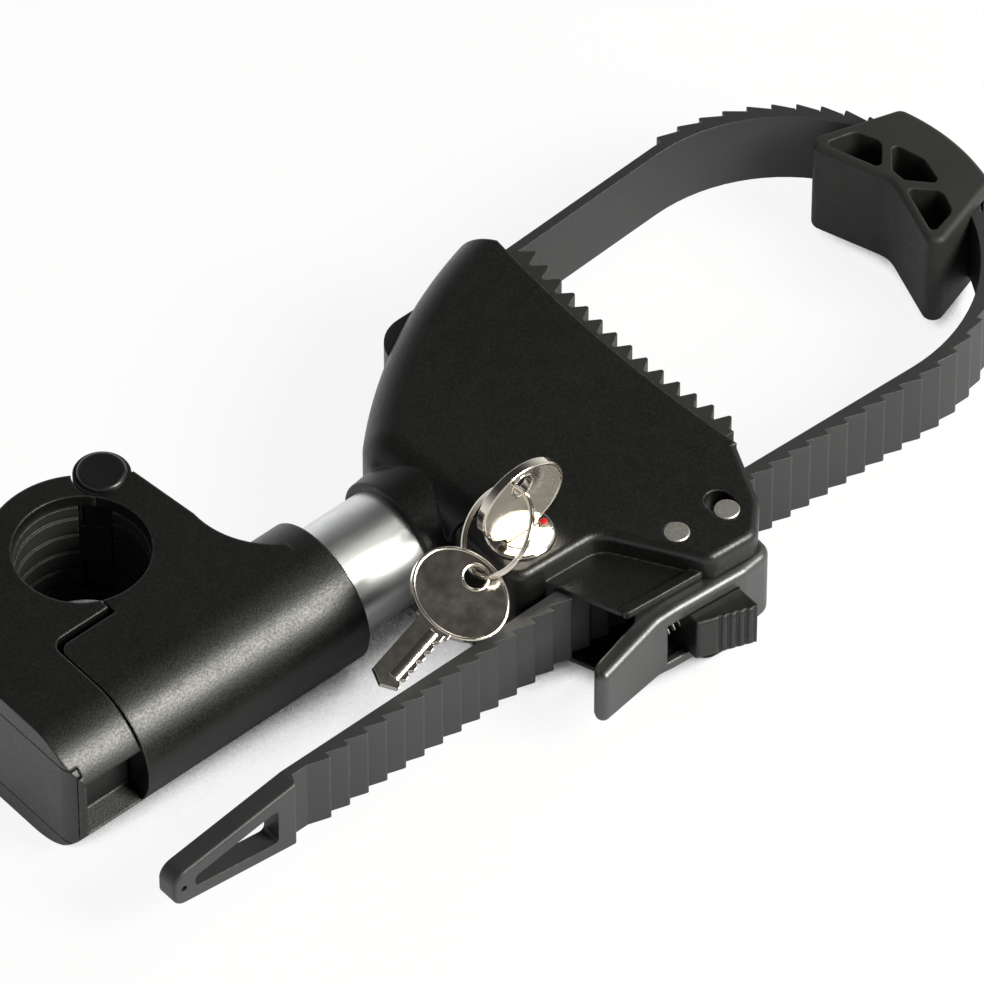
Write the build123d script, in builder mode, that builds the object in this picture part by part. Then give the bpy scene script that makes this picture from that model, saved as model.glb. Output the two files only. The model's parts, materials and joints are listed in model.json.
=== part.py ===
from build123d import *
import math
import os

os.makedirs("parts", exist_ok=True)

# Lockable frame-holder arm of a bike carrier, lying flat. Millimetres, +Z up.
# The origin is the centre of the rack tube's clamp bore, +X runs along the arm to the head.

# Shared sizes
half_height = 19.0          # clamp, socket and head reach this far above and below the mid plane
arm_axis_y = -35.0          # the arm tube's axis lies beside the bore
running_gap = 0.05          # radial clearance of pins and screws that turn or slide
seat_gap = 0.3              # clearance of loosely seated and moving faces

# Rack tube clamp
bore_radius = 16.5
liner_thickness = 2.0
clamp_wall = 5.5
liner_half_height = 15.5
liner_groove_depth = 0.6
liner_groove_width = 1.6
liner_groove_pitch = 6.0
liner_groove_count = 5
jaw_liner_start = 54.0
jaw_liner_end = 246.0
body_liner_start = 248.5
body_liner_end = 384.0

# Clamp hinge
hinge_angle = 39.0
hinge_reach = 24.8
knuckle_radius = 7.2
knuckle_gap = 0.4
jaw_knuckle_half = 6.5
hinge_pin_radius = 2.5
hinge_cap_radius = 6.3
hinge_cap_height = 1.4
hinge_cap_round = 1.1

# Parting of jaw and body
parting_y = -19.5
parting_x = -24.7
parting_groove = 2.4
parting_gap = 0.6
parting_corner = 3.0
jaw_tip_x = -7.1
body_step_x = -6.5
jaw_reach = 45.0
jaw_corner = 9.0
jaw_shoulder = 8.0

# Clamp body
flank_top_x = 25.6
flank_top_y = 11.0
flank_x = 27.8
flank_y = -9.0
flank_blend_x = 38.5
flank_blend_y = -31.0
flank_blend_radius = 24.0
socket_end_x = 45.0
socket_screw_x = 24.0
socket_screw_radius = 2.0
socket_screw_head = 3.8
socket_floor = 1.4          # wall left between the screw's head and the tube

# Arm tube
tube_radius = 15.0
tube_wall = 1.8
tube_start_x = -9.5
tube_end_x = 98.0

# Clamp screw, nut and cover
screw_radius = 4.0
screw_head_radius = 6.5
screw_head_height = 5.0
screw_cover_gap = 2.0       # room between the cover's back and the screw's head
screw_wall = 4.4            # the jaw's wall under the screw's head
screw_socket_flats = 5.0
screw_socket_depth = 2.6
screw_tip_chamfer = 0.8
screw_head_chamfer = 0.6
screw_chamber_radius = 7.5
nut_flats = 12.0
nut_length = 9.0
cover_thickness = 2.8
cover_half_height = 13.0
cover_free_y = -50.0
cover_pin_y = -18.6
cover_pin_radius = 1.5
cover_barrel_radius = 2.6
cover_pin_half = 16.0
pocket_floor_y = -46.5
pocket_mouth_half = 10.5
pocket_floor_half = 6.5

# Head
neck_start_x = 68.0
neck_radius = 17.2
neck_end_x = 84.0
neck_end_radius = 18.9
head_back_x = 73.5
head_back_corner = 12.0
flank_round = 9.0
rim_round = 1.2
front_x = 139.6
head_flank_start = (head_back_x, -17.5)
head_flank_middle = (103.0, 5.4)
head_flank_end_step = 3.2
head_flank_end = (front_x - head_flank_end_step, 19.4)
head_back_low_y = -50.0
plate_right_step = 5.6
plate_right = (front_x - plate_right_step, -95.4)
plate_low_right = (126.5, -103.0)
plate_low_left = (112.2, -102.0)
plate_notch = (97.4, -77.9)
plate_edge = 2.0
plate_right_round = 6.0
plate_low_right_round = 5.0
plate_low_left_round = 4.0
plate_notch_round = 7.0
flank_round_step = 13.0
flank_round_end_x = front_x - flank_round_step
front_radius = 400.0
front_centre_y = -34.0
front_top_y = 10.8
front_low_y = -78.0
plate_half = 11.5           # the strap and lever run between plates this far from the mid plane
channel_wall_y = -79.5
hollow_low_left = (105.0, -70.0)
hollow_low_right = (126.0, -70.0)
hollow_high_right = (126.0, -13.0)
hollow_high_left = (105.0, -13.0)
hollow_half = 15.0
hollow_corner = 4.0
ledge_start = (80.5, -75.0)
ledge_low_left = (88.4, -97.0)
ledge_low_right = (113.0, -99.0)
ledge_end = (104.0, -75.0)
ledge_top = 12.8
ridge_top = 13.6
ridge_width = 2.6
head_screw_places = ((97.0, -8.0), (130.0, 4.0), (130.0, -71.0), (99.0, -67.0))
head_screw_radius = 1.5
head_screw_head = 3.0
head_screw_head_depth = 4.0
head_screw_reach = 10.0

# Strap
strap_half_width = 11.0
strap_thickness = 2.6
strap_inner = 44.8          # from the arm's axis to the strap's inner face, in the head
strap_spread = 2.5          # degrees by which the loop's runs part
strap_loop_x = 196.0
tooth_pitch = 5.9
tooth_height = 1.8
tooth_foot = 0.8
tooth_crest = 0.5
strap_bulb_x = 111.0
strap_bulb_radius = 9.8
tail_teeth_x = 1.0
tail_end_x = -43.0
tab_start_x = -5.0
tab_ramp = 1.5
tab_thickness = 5.6
tab_edge = 0.9
tail_tip_half = 5.2
tail_tip_round = 4.0
tail_slot_start_x = -10.5
tail_slot_end_x = -36.5
tail_slot_start_half = 6.0
tail_slot_end_half = 1.8
tail_slot_corner = 1.5
tail_hole_x = -40.0
tail_hole_radius = 0.9

# Frame pad
pad_half = 15.0
pad_inner_x = 223.5
pad_valley_x = 232.0
pad_half_span = 25.0
pad_far_x = 262.0
pad_far_span = 13.0
pad_outer_wall = 2.8
pad_corner = 3.0
pad_valley_round = 9.0
pad_edge = 1.5
pad_hole_near = (227.2, 20.4)   # corners of the side holes: x, and how far from the arm's axis
pad_hole_far = (236.2, 18.0)
pad_hole_back = (239.0, 11.0)
pad_hole_low = (232.6, 4.4)
pad_middle_near = (234.2, 2.2)
pad_middle_far = (240.4, 9.2)
pad_middle_back_x = 242.8
pad_hole_corner = 1.3
pad_hole_round = 3.4

# Toothed jaw pad
grip_half = 18.4
grip_tongue_half = 13.0
grip_depth = 5.0
grip_proud = 1.3
grip_radius = 230.0
grip_height = 3.4
grip_pitch = 5.65
grip_count = 14
grip_crest = 0.7

# Ratchet lever
pivot_x = 112.0
pivot_y = -90.0
pin_head_radius = 3.2
pin_shank_radius = 2.5
pin_proud = 0.3
pin_foot_depth = 4.5
guide_radius = 14.2
guide_angle = -10.0
lever_stroke = 14.0
lever_half = 11.0
lever_tip_half = 8.4
lever_taper_x = 100.0
lever_edge = 2.0
lever_hub = 4.1
lever_nose = (105.8, -85.0)
lever_nose_heel = (103.6, -88.5)
lever_inner_root = (104.5, -93.6)
lever_inner_step = (94.5, -94.4)
lever_inner_bend = (90.5, -99.2)
lever_tip_inner = (74.2, -102.6)
lever_tip_outer = (71.8, -107.6)
lever_outer_bend = (95.3, -103.3)
lever_outer_middle = (121.0, -105.2)
lever_outer_right = (130.6, -104.2)
lever_right = (131.2, -93.5)
lever_inner_round = 2.0
lever_outer_round = 8.0
lever_corner = 4.0
spring_room_radius = 5.3
spring_room_half = 4.2
lever_spring_wire = 0.9
lever_spring_radius = 3.6
lever_spring_turns = 4.0

# Lever catch
catch_left_x = 103.6
catch_length = 15.0
catch_travel = 6.0
catch_base_half = 8.0
catch_neck_half = 6.6
catch_base_depth = 5.0
catch_room_y = -96.2
catch_low_y = -107.4
catch_proud_y = -113.2
catch_edge = 1.0
catch_groove_count = 5
catch_groove_start = 0.36
catch_groove_end = 0.92
catch_groove_radius = 0.6
catch_spring_radius = 1.5
catch_spring_wire = 0.6
catch_spring_turns = 8
catch_spring_hole = 2.1
catch_spring_depth = 9.0

# Lock and keys
lock_x = 83.0
lock_y = -65.5
lock_block_half = 11.0
lock_block_corner = 5.0
barrel_radius = 8.6
barrel_proud = 0.9
barrel_foot_z = 0.0
plug_radius = 5.6
plug_proud = 0.2
cam_radius = 5.0
cam_reach = 7.8
cam_thickness = 4.0
cam_width = 6.0
key_thickness = 2.2
key_blade = 8.0
key_collar = 10.0
key_collar_length = 2.5
key_bow_length = 10.8       # half of the bow along the blade
key_bow_width = 12.8        # half of the bow across the blade
key_hole_radius = 2.8
key_hole_offset = 5.6
key_blade_length = 20.0
key_bit_count = 5
key_bit_pitch = 3.2
key_bit_depth = 1.1
key_slit_gap = 0.2
key_hole_z = 37.2
spare_key_hole = (63.6, -71.1, 22.0)
spare_key_tip = (29.0, -77.0, 14.8)
spare_key_facing = (-0.43, -0.495, 0.755)
ring_side = (-0.02, -0.92, 0.38)    # direction in which the ring's wire crosses the keys
ring_wire = 0.65
ring_ease = 0.9             # room beside the wire, which crosses the keys at an angle


def save(piece, name):
    """Label a finished piece and write it."""
    piece.part.label = name
    export_step(piece.part, f"parts/{name}.step")


def polar(radius, degrees):
    """Point at a radius and angle about the origin."""
    return (radius * math.cos(math.radians(degrees)), radius * math.sin(math.radians(degrees)))


# Worked out sizes
recess_radius = bore_radius + liner_thickness
clamp_radius = recess_radius + clamp_wall
hinge_x, hinge_y = polar(hinge_reach, hinge_angle)
socket_radius = half_height
socket_low_y = arm_axis_y - socket_radius
socket_screw_head_depth = half_height - tube_radius - socket_floor
groove_half = parting_groove / 2
gap_half = parting_gap / 2
cover_back_x = -jaw_reach + cover_thickness
cover_pin_x = -jaw_reach + cover_barrel_radius
screw_tip_x = parting_x - parting_gap
screw_seat_x = parting_x - gap_half - screw_wall
screw_head_x = cover_back_x + screw_cover_gap
screw_length = screw_tip_x - screw_head_x - screw_head_height
loop_half = strap_inner + (strap_loop_x - front_x) * math.tan(math.radians(strap_spread))
loop_radius = loop_half / math.cos(math.radians(strap_spread))
loop_centre_x = strap_loop_x + loop_radius * math.sin(math.radians(strap_spread))
upper_strap_y = arm_axis_y + strap_inner
lower_strap_y = arm_axis_y - strap_inner
strap_bulb_y = upper_strap_y + strap_thickness - strap_bulb_radius
guide_x = pivot_x + guide_radius * math.cos(math.radians(guide_angle))
guide_y = pivot_y + guide_radius * math.sin(math.radians(guide_angle))
front_centre_x = front_x + front_radius
grip_centre_x = front_x + grip_proud + grip_radius
grip_span = grip_count * grip_pitch + 2 * grip_crest
cam_room_z = barrel_foot_z - cam_thickness - seat_gap
lock_block_low = (lock_x - lock_block_half, lock_y - lock_block_half)
arm_plane = Plane(origin=(0, arm_axis_y, 0), x_dir=(0, 1, 0), z_dir=(1, 0, 0))


# Section of the clamp's bar: flat block that runs tangent into the round socket
with BuildSketch(Plane.YZ) as bar_section:
    with Locations((arm_axis_y, 0)):
        Circle(socket_radius)
    with Locations((arm_axis_y, 0)):
        Rectangle(3 * half_height + clamp_radius, 2 * half_height, align=(Align.MIN, Align.CENTER))

# Plan of the whole jaw, before the body's share is taken away
with BuildSketch(Plane.XY) as jaw_plan:
    Circle(clamp_radius)
    with BuildLine():
        Polyline(
            (0, 0),
            polar(clamp_radius, 135),
            (-jaw_reach, clamp_radius * math.sqrt(2) - jaw_reach),
            (-jaw_reach, socket_low_y),
            (0, socket_low_y),
            close=True,
        )
    make_face()
    end_corners = jaw_plan.vertices().group_by(Axis.X)[0].sort_by(Axis.Y)
    fillet(end_corners[-1], jaw_shoulder)
    fillet(jaw_plan.vertices().group_by(Axis.X)[0].sort_by(Axis.Y)[0], jaw_corner)

# The body's share of the plan, grown by half the parting gaps
with BuildSketch(Plane.XY) as body_share:
    with BuildLine():
        Polyline(
            (parting_x - gap_half, 2 * socket_low_y),
            (parting_x - gap_half, parting_y + groove_half),
            (jaw_tip_x, parting_y + groove_half),
            (jaw_tip_x, 0),
            (0, 0),
            polar(3 * clamp_radius, hinge_angle),
            (3 * clamp_radius, 2 * socket_low_y),
            close=True,
        )
    make_face()
    share_corner = (parting_x - gap_half, parting_y + groove_half)
    fillet(body_share.vertices().sort_by_distance(share_corner)[0], parting_corner + parting_gap)

with BuildPart() as clamp_jaw:
    extrude(jaw_plan.sketch, amount=half_height, both=True)
    extrude(bar_section.sketch, amount=3 * jaw_reach, both=True, mode=Mode.INTERSECT)
    extrude(body_share.sketch, amount=half_height, both=True, mode=Mode.SUBTRACT)
    with BuildSketch(Plane.XY) as jaw_knuckle:
        with Locations((hinge_x, hinge_y)):
            Circle(knuckle_radius)
    extrude(amount=jaw_knuckle_half, both=True)
    with BuildSketch(Plane.XY.offset(jaw_knuckle_half)) as body_knuckle_room:
        with Locations((hinge_x, hinge_y)):
            Circle(knuckle_radius + knuckle_gap)
    extrude(amount=half_height, mode=Mode.SUBTRACT)
    with BuildSketch(Plane.XY.offset(-jaw_knuckle_half)) as low_knuckle_room:
        with Locations((hinge_x, hinge_y)):
            Circle(knuckle_radius + knuckle_gap)
    extrude(amount=-half_height, mode=Mode.SUBTRACT)
    with Locations((hinge_x, hinge_y, 0)):
        Cylinder(hinge_pin_radius + running_gap, 3 * half_height, mode=Mode.SUBTRACT)
    # Bore: a wide recess for the liner between two rims
    Cylinder(bore_radius + liner_groove_depth, 3 * half_height, mode=Mode.SUBTRACT)
    Cylinder(recess_radius, 2 * (liner_half_height + running_gap), mode=Mode.SUBTRACT)
    # Recess of the cover, its barrel, the screw's chamber and the finger pocket
    with BuildSketch(Plane.XY) as cover_room:
        with BuildLine():
            Polyline(
                (-2 * jaw_reach, cover_pin_y + cover_barrel_radius + seat_gap),
                (cover_pin_x, cover_pin_y + cover_barrel_radius + seat_gap),
                (cover_pin_x, cover_pin_y),
                (cover_back_x + seat_gap, cover_pin_y),
                (cover_back_x + seat_gap, 2 * socket_low_y),
                (-2 * jaw_reach, 2 * socket_low_y),
                close=True,
            )
        make_face()
        with Locations((cover_pin_x, cover_pin_y)):
            Circle(cover_barrel_radius + seat_gap)
        with Locations((-jaw_reach, cover_free_y - seat_gap)):
            Rectangle(6 * jaw_corner, 4 * jaw_corner, align=(Align.CENTER, Align.MAX), mode=Mode.SUBTRACT)
    extrude(amount=cover_half_height + seat_gap, both=True, mode=Mode.SUBTRACT)
    with Locations((cover_pin_x, cover_pin_y, 0)):
        Cylinder(cover_pin_radius, 2 * cover_pin_half, mode=Mode.SUBTRACT)
    with BuildSketch(arm_plane) as screw_hole:
        Circle(screw_radius + running_gap)
    extrude(amount=-2 * jaw_reach, mode=Mode.SUBTRACT)
    with BuildSketch(arm_plane.offset(screw_seat_x)) as chamber:
        Circle(screw_chamber_radius)
    extrude(amount=-jaw_reach, mode=Mode.SUBTRACT)
    with BuildSketch(Plane.YZ.offset(cover_back_x + seat_gap)) as pocket:
        with BuildLine():
            Polyline(
                (pocket_floor_y, pocket_floor_half),
                (pocket_floor_y, -pocket_floor_half),
                (socket_low_y - seat_gap, -pocket_mouth_half),
                (socket_low_y - seat_gap, pocket_mouth_half),
                close=True,
            )
        make_face()
    extrude(amount=jaw_reach, mode=Mode.SUBTRACT)
save(clamp_jaw, "clamp_jaw")

with BuildPart() as clamp_cover:
    extrude(jaw_plan.sketch, amount=cover_half_height, both=True)
    with BuildSketch(Plane.XY) as cover_plan:
        with Locations((cover_back_x, cover_pin_y)):
            Rectangle(
                2 * cover_thickness,
                cover_pin_y - cover_free_y,
                align=(Align.MAX, Align.MAX),
            )
        with Locations((cover_pin_x, cover_pin_y)):
            Circle(cover_barrel_radius)
    extrude(amount=cover_half_height, both=True, mode=Mode.INTERSECT)
    extrude(bar_section.sketch, amount=3 * jaw_reach, both=True, mode=Mode.INTERSECT)
    with Locations((cover_pin_x, cover_pin_y, 0)):
        Cylinder(cover_pin_radius + running_gap, 3 * cover_half_height, mode=Mode.SUBTRACT)
save(clamp_cover, "clamp_cover")

with BuildPart() as cover_pin:
    with Locations((cover_pin_x, cover_pin_y, 0)):
        Cylinder(cover_pin_radius, 2 * cover_pin_half)
save(cover_pin, "cover_pin")

with BuildPart(arm_plane.offset(screw_tip_x)) as clamp_screw:
    Cylinder(screw_radius, screw_length, align=(Align.CENTER, Align.CENTER, Align.MAX))
    chamfer(clamp_screw.edges().group_by(Axis.X)[-1], screw_tip_chamfer)
    with BuildSketch(arm_plane.offset(screw_head_x + screw_head_height)) as screw_head:
        Circle(screw_head_radius)
    extrude(amount=-screw_head_height)
    chamfer(clamp_screw.edges().group_by(Axis.X)[0], screw_head_chamfer)
    with BuildSketch(arm_plane.offset(screw_head_x)) as hex_socket:
        RegularPolygon(screw_socket_flats / 2, 6, major_radius=False)
    extrude(amount=screw_socket_depth, mode=Mode.SUBTRACT)
save(clamp_screw, "clamp_screw")

# Plan of the clamp body, without the socket
with BuildSketch(Plane.XY) as body_plan:
    with BuildLine():
        Polyline(
            (body_step_x, 0),
            (body_step_x, parting_y - groove_half),
            (parting_x + gap_half, parting_y - groove_half),
            (parting_x + gap_half, socket_low_y),
            (flank_blend_x, socket_low_y),
            (flank_blend_x, flank_blend_y),
        )
        RadiusArc((flank_blend_x, flank_blend_y), (flank_x, flank_y), flank_blend_radius)
        Polyline((flank_x, flank_y), (flank_top_x, flank_top_y), (hinge_x, hinge_y), (0, 0), (body_step_x, 0))
    make_face()
    with Locations((hinge_x, hinge_y)):
        Circle(knuckle_radius)
    body_corner = (parting_x + gap_half, parting_y - groove_half)
    fillet(body_plan.vertices().sort_by_distance(body_corner)[0], parting_corner)

with BuildPart() as clamp_body:
    extrude(body_plan.sketch, amount=half_height, both=True)
    extrude(bar_section.sketch, amount=3 * jaw_reach, both=True, mode=Mode.INTERSECT)
    with BuildSketch(arm_plane.offset(body_step_x)) as socket_section:
        Circle(socket_radius)
    extrude(amount=socket_end_x - body_step_x)
    # Room for the jaw's knuckle in the middle of the hinge
    with BuildSketch(Plane.XY) as jaw_knuckle_room:
        with Locations((hinge_x, hinge_y)):
            Circle(knuckle_radius + knuckle_gap)
    extrude(amount=jaw_knuckle_half + seat_gap, both=True, mode=Mode.SUBTRACT)
    with Locations((hinge_x, hinge_y, 0)):
        Cylinder(hinge_pin_radius, 3 * half_height, mode=Mode.SUBTRACT)
    Cylinder(bore_radius + liner_groove_depth, 3 * half_height, mode=Mode.SUBTRACT)
    Cylinder(recess_radius, 2 * (liner_half_height + running_gap), mode=Mode.SUBTRACT)
    # Tube socket, nut pocket and the hole for the retaining screw
    with BuildSketch(arm_plane.offset(tube_start_x)) as tube_room:
        Circle(tube_radius + running_gap)
    extrude(amount=tube_end_x, mode=Mode.SUBTRACT)
    with BuildSketch(arm_plane.offset(parting_x)) as nut_room:
        RegularPolygon(nut_flats / 2, 6, major_radius=False)
    extrude(amount=nut_length + gap_half, mode=Mode.SUBTRACT)
    with Locations((socket_screw_x, arm_axis_y, -half_height)):
        Cylinder(socket_screw_radius, half_height, mode=Mode.SUBTRACT)
        Cylinder(socket_screw_head, 2 * socket_screw_head_depth, mode=Mode.SUBTRACT)
save(clamp_body, "clamp_body")


def liner(start, end, name):
    """Rubber half ring with grip grooves round its inside."""
    with BuildPart() as piece:
        with BuildSketch(Plane.XY):
            with BuildLine():
                outer = CenterArc((0, 0), recess_radius - running_gap, start, end - start)
                inner = CenterArc((0, 0), bore_radius, start, end - start)
                Line(outer @ 0, inner @ 0)
                Line(outer @ 1, inner @ 1)
            make_face()
        extrude(amount=liner_half_height, both=True)
        for row in range(liner_groove_count):
            groove_z = (row - (liner_groove_count - 1) / 2) * liner_groove_pitch
            with Locations((0, 0, groove_z)):
                Cylinder(bore_radius + liner_groove_depth, liner_groove_width, mode=Mode.SUBTRACT)
    save(piece, name)


liner(jaw_liner_start, jaw_liner_end, "clamp_jaw_liner")
liner(body_liner_start, body_liner_end, "clamp_body_liner")

with BuildPart() as clamp_hinge_pin:
    with Locations((hinge_x, hinge_y, half_height)):
        Cylinder(
            hinge_pin_radius,
            2 * half_height - seat_gap,
            align=(Align.CENTER, Align.CENTER, Align.MAX),
        )
        Cylinder(
            hinge_cap_radius,
            hinge_cap_height,
            align=(Align.CENTER, Align.CENTER, Align.MIN),
        )
    fillet(clamp_hinge_pin.edges().group_by(Axis.Z)[-1], hinge_cap_round)
save(clamp_hinge_pin, "clamp_hinge_pin")

with BuildPart() as clamp_nut:
    with BuildSketch(arm_plane.offset(parting_x + gap_half)):
        RegularPolygon(nut_flats / 2 - running_gap, 6, major_radius=False)
        Circle(screw_radius + running_gap, mode=Mode.SUBTRACT)
    extrude(amount=nut_length)
save(clamp_nut, "clamp_nut")

with BuildPart() as arm_tube:
    with BuildSketch(arm_plane.offset(tube_start_x)):
        Circle(tube_radius)
        Circle(tube_radius - tube_wall, mode=Mode.SUBTRACT)
    extrude(amount=tube_end_x - tube_start_x)
    with Locations((socket_screw_x, arm_axis_y, -tube_radius)):
        Cylinder(socket_screw_radius, tube_radius, mode=Mode.SUBTRACT)
save(arm_tube, "arm_tube")

with BuildPart() as socket_screw:
    with Locations((socket_screw_x, arm_axis_y, -half_height + seat_gap)):
        Cylinder(
            socket_screw_head - running_gap,
            socket_screw_head_depth - seat_gap,
            align=(Align.CENTER, Align.CENTER, Align.MIN),
        )
        Cylinder(
            socket_screw_radius - running_gap,
            half_height - tube_radius + 2 * tube_wall,
            align=(Align.CENTER, Align.CENTER, Align.MIN),
        )
save(socket_screw, "socket_screw")


def front_point(y):
    """Point of the head's concave front edge at a given y."""
    reach = math.sqrt(front_radius**2 - (y - front_centre_y) ** 2)
    return (front_centre_x - reach, y)


# Plan of the head: curved flank, angled end and concave front
with BuildSketch(Plane.XY) as head_plan:
    with BuildLine():
        ThreePointArc(head_flank_start, head_flank_middle, head_flank_end)
        Line(head_flank_end, front_point(front_top_y))
        ThreePointArc(front_point(front_top_y), (front_x, front_centre_y), front_point(front_low_y))
        Polyline(
            front_point(front_low_y),
            (plate_notch[0], lock_y),
            (head_back_x, head_back_low_y),
            head_flank_start,
        )
    make_face()
    fillet(head_plan.vertices().sort_by_distance(head_flank_start)[0], head_back_corner)

# Plan of the plates that carry the lever and of the block that carries the lock
with BuildSketch(Plane.XY) as plate_plan:
    with BuildLine():
        Polyline(
            front_point(front_low_y),
            plate_right,
            plate_low_right,
            plate_low_left,
            plate_notch,
            lock_block_low,
            (lock_block_low[0], lock_y + lock_block_half),
            (plate_notch[0], lock_y + lock_block_half),
            (plate_low_right[0], lock_y),
            close=True,
        )
    make_face()
    for point, radius in (
        (plate_right, plate_right_round),
        (plate_low_right, plate_low_right_round),
        (plate_low_left, plate_low_left_round),
        (plate_notch, plate_notch_round),
        (lock_block_low, lock_block_corner),
    ):
        fillet(plate_plan.vertices().sort_by_distance(point)[0], radius)

with BuildPart() as head_plates:
    extrude(plate_plan.sketch, amount=half_height, both=True)
    level_edges = head_plates.edges().group_by(Axis.Z)
    plate_edges = (level_edges[0] + level_edges[-1]).filter_by(
        lambda e: e.center().Y < lock_block_low[1] + rim_round
        or e.center().X < lock_block_low[0] + rim_round
    )
    fillet(plate_edges, plate_edge)

with BuildPart() as head_form:
    extrude(head_plan.sketch, amount=half_height, both=True)
    level_edges = head_form.edges().group_by(Axis.Z)
    flank_edges = (level_edges[0] + level_edges[-1]).filter_by(
        lambda e: e.center().Y > head_back_low_y and e.center().X < flank_round_end_x
    )
    fillet(flank_edges, flank_round)
    add(head_plates.part)
    # Tapered round neck on the arm tube
    with BuildSketch(arm_plane.offset(neck_start_x)):
        Circle(neck_radius)
    with BuildSketch(arm_plane.offset(neck_end_x)):
        Circle(neck_end_radius)
    loft()
    with BuildSketch(arm_plane.offset(neck_start_x)) as neck_room:
        Circle(tube_radius + running_gap)
    extrude(amount=tube_end_x - neck_start_x + seat_gap, mode=Mode.SUBTRACT)
    # Hollow inside, with posts for the screws left standing outside it
    with BuildSketch(Plane.XY) as hollow:
        with BuildLine():
            Polyline(hollow_low_left, hollow_low_right, hollow_high_right, hollow_high_left, close=True)
        make_face()
        fillet(hollow.vertices(), hollow_corner)
    extrude(amount=hollow_half, both=True, mode=Mode.SUBTRACT)
    # Slot of the strap's fixed end and the seat of its bulb
    with BuildSketch(Plane.XY) as strap_room:
        with Locations((strap_bulb_x, upper_strap_y - seat_gap)):
            Rectangle(front_x, strap_thickness + 2 * seat_gap, align=(Align.MIN, Align.MIN))
        with Locations((strap_bulb_x, strap_bulb_y)):
            Circle(strap_bulb_radius + seat_gap)
    extrude(amount=strap_half_width + seat_gap, both=True, mode=Mode.SUBTRACT)
    # Ledge beside the lever's plates, with a raised ridge along its edge
    with BuildSketch(Plane.XY) as ledge:
        with BuildLine():
            Polyline(ledge_start, ledge_low_left, ledge_low_right, ledge_end, close=True)
        make_face()
        fillet(ledge.vertices().sort_by_distance(ledge_low_left)[0], 2 * rim_round)
    extrude(amount=ledge_top, both=True)
    with BuildSketch(Plane.XY) as ridge:
        with BuildLine():
            Line(ledge_low_left, ledge_low_right)
        trace(line_width=ridge_width)
        fillet(ridge.vertices(), rim_round)
    extrude(amount=ridge_top, both=True)
    # Channel of the strap's free run and the lever, open towards -Y
    with Locations((pivot_x, channel_wall_y, 0)):
        Box(2 * front_x, 4 * half_height, 2 * plate_half, align=(Align.CENTER, Align.MAX, Align.CENTER),
            mode=Mode.SUBTRACT)
    # Groove of the toothed pad
    with BuildSketch(Plane.XY) as grip_room:
        with Locations((front_centre_x, front_centre_y)):
            Circle(front_radius + grip_depth + seat_gap)
        with Locations((front_x, front_centre_y)):
            Rectangle(front_radius, grip_span + 2 * seat_gap, mode=Mode.INTERSECT)
    extrude(amount=grip_tongue_half + seat_gap, both=True, mode=Mode.SUBTRACT)

guide_arc = CenterArc((pivot_x, pivot_y), guide_radius, guide_angle, lever_stroke)

with BuildPart() as head_upper_shell:
    add(head_form.part)
    split(bisect_by=Plane.XY, keep=Keep.TOP)
    with Locations((lock_x, lock_y, 0)):
        Cylinder(barrel_radius + running_gap, 3 * half_height, mode=Mode.SUBTRACT)
    with Locations((pivot_x, pivot_y, half_height)):
        Cylinder(pin_head_radius + running_gap, 2 * half_height, mode=Mode.SUBTRACT)
    with BuildSketch(Plane.XY):
        SlotArc(guide_arc, 2 * (pin_head_radius + seat_gap))
    extrude(amount=2 * half_height, mode=Mode.SUBTRACT)
    with Locations(*[(x, y, 0) for x, y in head_screw_places]):
        Cylinder(head_screw_radius, 2 * head_screw_reach, mode=Mode.SUBTRACT)
save(head_upper_shell, "head_upper_shell")

with BuildPart() as head_lower_shell:
    add(head_form.part)
    split(bisect_by=Plane.XY, keep=Keep.BOTTOM)
    with Locations((lock_x, lock_y, 0)):
        Cylinder(barrel_radius + running_gap, -2 * cam_room_z, mode=Mode.SUBTRACT)
    with Locations((pivot_x, pivot_y, 0)):
        Cylinder(
            pin_shank_radius + running_gap,
            2 * (plate_half + pin_foot_depth + seat_gap),
            mode=Mode.SUBTRACT,
        )
    with BuildSketch(Plane.XY):
        SlotArc(guide_arc, 2 * (pin_shank_radius + seat_gap))
    extrude(amount=-(plate_half + pin_foot_depth + seat_gap), mode=Mode.SUBTRACT)
    with Locations(*[(x, y, -half_height) for x, y in head_screw_places]):
        Cylinder(head_screw_radius + running_gap, 3 * half_height, mode=Mode.SUBTRACT)
        Cylinder(head_screw_head + running_gap, 2 * head_screw_head_depth, mode=Mode.SUBTRACT)
save(head_lower_shell, "head_lower_shell")

with BuildPart() as head_screws:
    with Locations(*[(x, y, -half_height + seat_gap) for x, y in head_screw_places]):
        Cylinder(
            head_screw_head,
            head_screw_head_depth - seat_gap,
            align=(Align.CENTER, Align.CENTER, Align.MIN),
        )
        Cylinder(
            head_screw_radius - running_gap,
            half_height + head_screw_reach - 2 * seat_gap,
            align=(Align.CENTER, Align.CENTER, Align.MIN),
        )
save(head_screws, "head_screws")

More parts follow.
